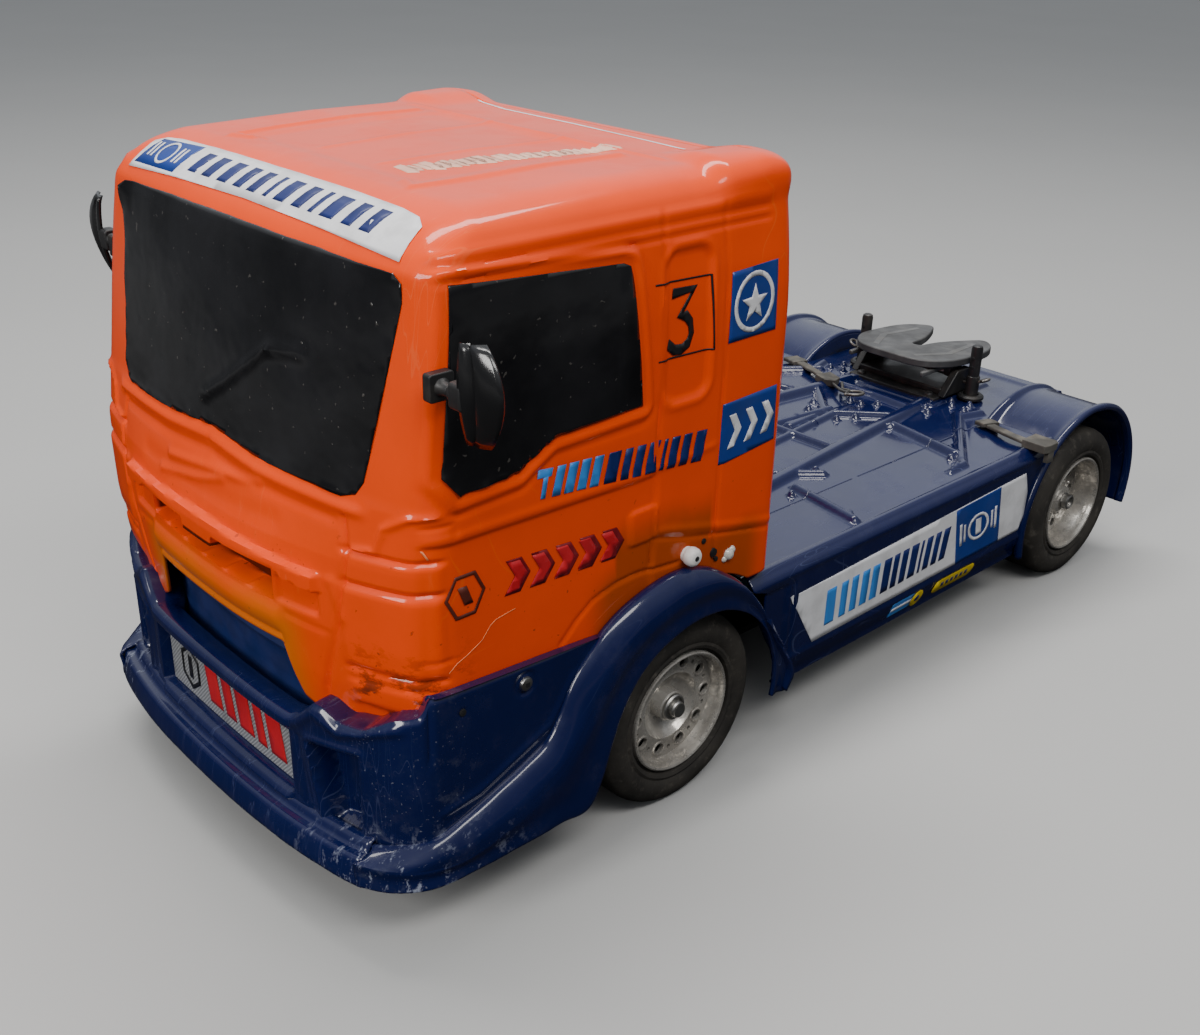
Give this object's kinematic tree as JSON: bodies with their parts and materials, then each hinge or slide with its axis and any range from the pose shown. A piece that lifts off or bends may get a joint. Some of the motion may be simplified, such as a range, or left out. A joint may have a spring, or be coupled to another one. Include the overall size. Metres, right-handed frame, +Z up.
{
  "type": "radio-controlled toy race truck",
  "caption": "Toy race tractor truck: orange cab over a blue bumper, flares and rear deck, steered front wheels, driven rear axle and a tilting fifth wheel.",
  "frame": {"origin": "centre of the whole truck's box, on the ground", "axes": "+X forward along the truck, +Y to the truck's left, +Z up"},
  "size_m": [0.431, 0.224, 0.214],
  "materials": {
    "orange_shell": "gloss, polycarbonate painted from inside",
    "blue_shell": "gloss",
    "window_film": "high gloss, slightly wrinkled",
    "silver_film": "satin woven film",
    "steel": "turned or drawn",
    "nut_steel": "plated",
    "motor_can": "zinc plated",
    "brass_pinion": "machined",
    "black_nylon": "moulded, satin",
    "grey_nylon": "moulded, worn satin",
    "white_nylon": "satin",
    "battery_wrap": "shrink wrap",
    "aluminium_plate": "brushed",
    "rubber_strap": "matt",
    "wheel_silver": "satin silver plating, dusty",
    "tyre_rubber": "matt"
  },
  "bodies": {
    "truck": {"battery_pack": "battery_wrap", "battery_strap": "black_nylon", "bumper_screws": "steel", "cab_mount_bar": "steel", "cab_shell": "orange_shell", "chassis_plate": "black_nylon", "clip_tethers": "rubber_strap", "fifth_wheel_bracket": "black_nylon", "fifth_wheel_pin": "steel", "front_axle_beam": "black_nylon", "front_bumper": "blue_shell", "front_lip": "blue_shell", "grille_insert": "blue_shell", "kingpins": "steel", "left_fender_flare": "blue_shell", "mirror_mounts": "black_nylon", "motor": "motor_can", "motor_mount": "aluminium_plate", "number_plate": "silver_film", "rear_axle_bearings": "steel", "rear_axle_blocks": "black_nylon", "rear_body": "blue_shell", "rear_body_posts": "black_nylon", "receiver": "black_nylon", "right_fender_flare": "blue_shell", "side_knobs": "white_nylon", "side_window_films": "window_film", "speed_controller": "black_nylon", "steering_servo": "black_nylon", "switch_housing": "black_nylon", "windscreen_film": "window_film"},
    "left_knuckle": {"left_knuckle": "black_nylon", "left_stub_axle": "steel", "front_left_wheel_nut": "nut_steel"},
    "right_knuckle": {"right_knuckle": "black_nylon", "right_stub_axle": "steel", "front_right_wheel_nut": "nut_steel"},
    "front_left_wheel": {"front_left_rim": "wheel_silver", "front_left_tyre": "tyre_rubber", "front_left_bearings": "steel"},
    "front_right_wheel": {"front_right_rim": "wheel_silver", "front_right_tyre": "tyre_rubber", "front_right_bearings": "steel"},
    "rear_wheels": {"rear_axle_shaft": "steel", "spur_gear": "white_nylon", "rear_rims": "wheel_silver", "rear_tyres": "tyre_rubber", "rear_wheel_nuts": "nut_steel"},
    "motor_rotor": {"motor_shaft": "steel", "motor_pinion": "brass_pinion"},
    "servo_horn": {"servo_horn": "black_nylon"},
    "left_tie_rod": {"left_tie_rod": "black_nylon"},
    "right_tie_rod": {"right_tie_rod": "black_nylon"},
    "fifth_wheel": {"fifth_wheel_plate": "grey_nylon"},
    "left_mirror": {"left_mirror": "black_nylon"},
    "right_mirror": {"right_mirror": "black_nylon"},
    "left_post_clip": {"left_post_clip": "steel"},
    "right_post_clip": {"right_post_clip": "steel"},
    "spare_body_clip": {"spare_body_clip": "steel"},
    "switch_slider": {"switch_slider": "black_nylon"}
  },
  "joints": [
    {"name": "left_steer", "type": "hinge", "parent": "truck", "child": "left_knuckle", "pos_m": [0.0875, 0.052, 0.035], "axis": [0, 0, 1], "range_deg": [-22, 22]},
    {"name": "right_steer", "type": "hinge", "parent": "truck", "child": "right_knuckle", "pos_m": [0.0875, -0.052, 0.035], "axis": [0, 0, 1], "range_deg": [-22, 22]},
    {"name": "servo_turn", "type": "hinge", "parent": "truck", "child": "servo_horn", "pos_m": [0.1175, 0, 0.0435], "axis": [0, 0, 1], "range_deg": [-22, 22]},
    {"name": "left_link", "type": "hinge", "parent": "servo_horn", "child": "left_tie_rod", "pos_m": [0.1335, 0.003, 0.0466], "axis": [0, 0, 1], "range_deg": [-22, 22]},
    {"name": "right_link", "type": "hinge", "parent": "servo_horn", "child": "right_tie_rod", "pos_m": [0.1335, -0.003, 0.0466], "axis": [0, 0, 1], "range_deg": [-22, 22]},
    {"name": "front_left_spin", "type": "hinge", "parent": "left_knuckle", "child": "front_left_wheel", "pos_m": [0.0875, 0.073, 0.035], "axis": [0, 1, 0], "continuous": true},
    {"name": "front_right_spin", "type": "hinge", "parent": "right_knuckle", "child": "front_right_wheel", "pos_m": [0.0875, -0.073, 0.035], "axis": [0, 1, 0], "continuous": true},
    {"name": "rear_axle_spin", "type": "hinge", "parent": "truck", "child": "rear_wheels", "pos_m": [-0.1695, 0, 0.035], "axis": [0, 1, 0], "continuous": true},
    {"name": "motor_spin", "type": "hinge", "parent": "truck", "child": "motor_rotor", "pos_m": [-0.1488, 0.0225, 0.035], "axis": [0, 1, 0], "continuous": true},
    {"name": "fifth_wheel_tilt", "type": "hinge", "parent": "truck", "child": "fifth_wheel", "pos_m": [-0.1575, 0, 0.083], "axis": [0, 1, 0], "range_deg": [-8, 8]},
    {"name": "left_mirror_swing", "type": "hinge", "parent": "truck", "child": "left_mirror", "pos_m": [0.1852, 0.0935, 0.1739], "axis": [0, 0, 1], "range_deg": [-35, 35]},
    {"name": "right_mirror_swing", "type": "hinge", "parent": "truck", "child": "right_mirror", "pos_m": [0.1852, -0.0935, 0.1739], "axis": [0, 0, 1], "range_deg": [-35, 35]},
    {"name": "left_clip_pull", "type": "slide", "parent": "truck", "child": "left_post_clip", "axis": [0, 1, 0], "range_m": [0, 0.008]},
    {"name": "right_clip_pull", "type": "slide", "parent": "truck", "child": "right_post_clip", "axis": [0, -1, 0], "range_m": [0, 0.008]},
    {"name": "spare_clip_swing", "type": "hinge", "parent": "truck", "child": "spare_body_clip", "pos_m": [-0.1195, -0.02, 0.0756], "axis": [0, 0, 1], "range_deg": [-30, 30]},
    {"name": "switch_slide", "type": "slide", "parent": "truck", "child": "switch_slider", "axis": [1, 0, 0], "range_m": [0, 0.0055]}
  ],
  "couplings": [
    {"joint": "right_steer", "follows": "left_steer", "ratio": 1},
    {"joint": "servo_turn", "follows": "left_steer", "ratio": 1},
    {"joint": "left_link", "follows": "left_steer", "ratio": -1},
    {"joint": "right_link", "follows": "left_steer", "ratio": -1},
    {"joint": "motor_spin", "follows": "rear_axle_spin", "ratio": -3.6}
  ]
}
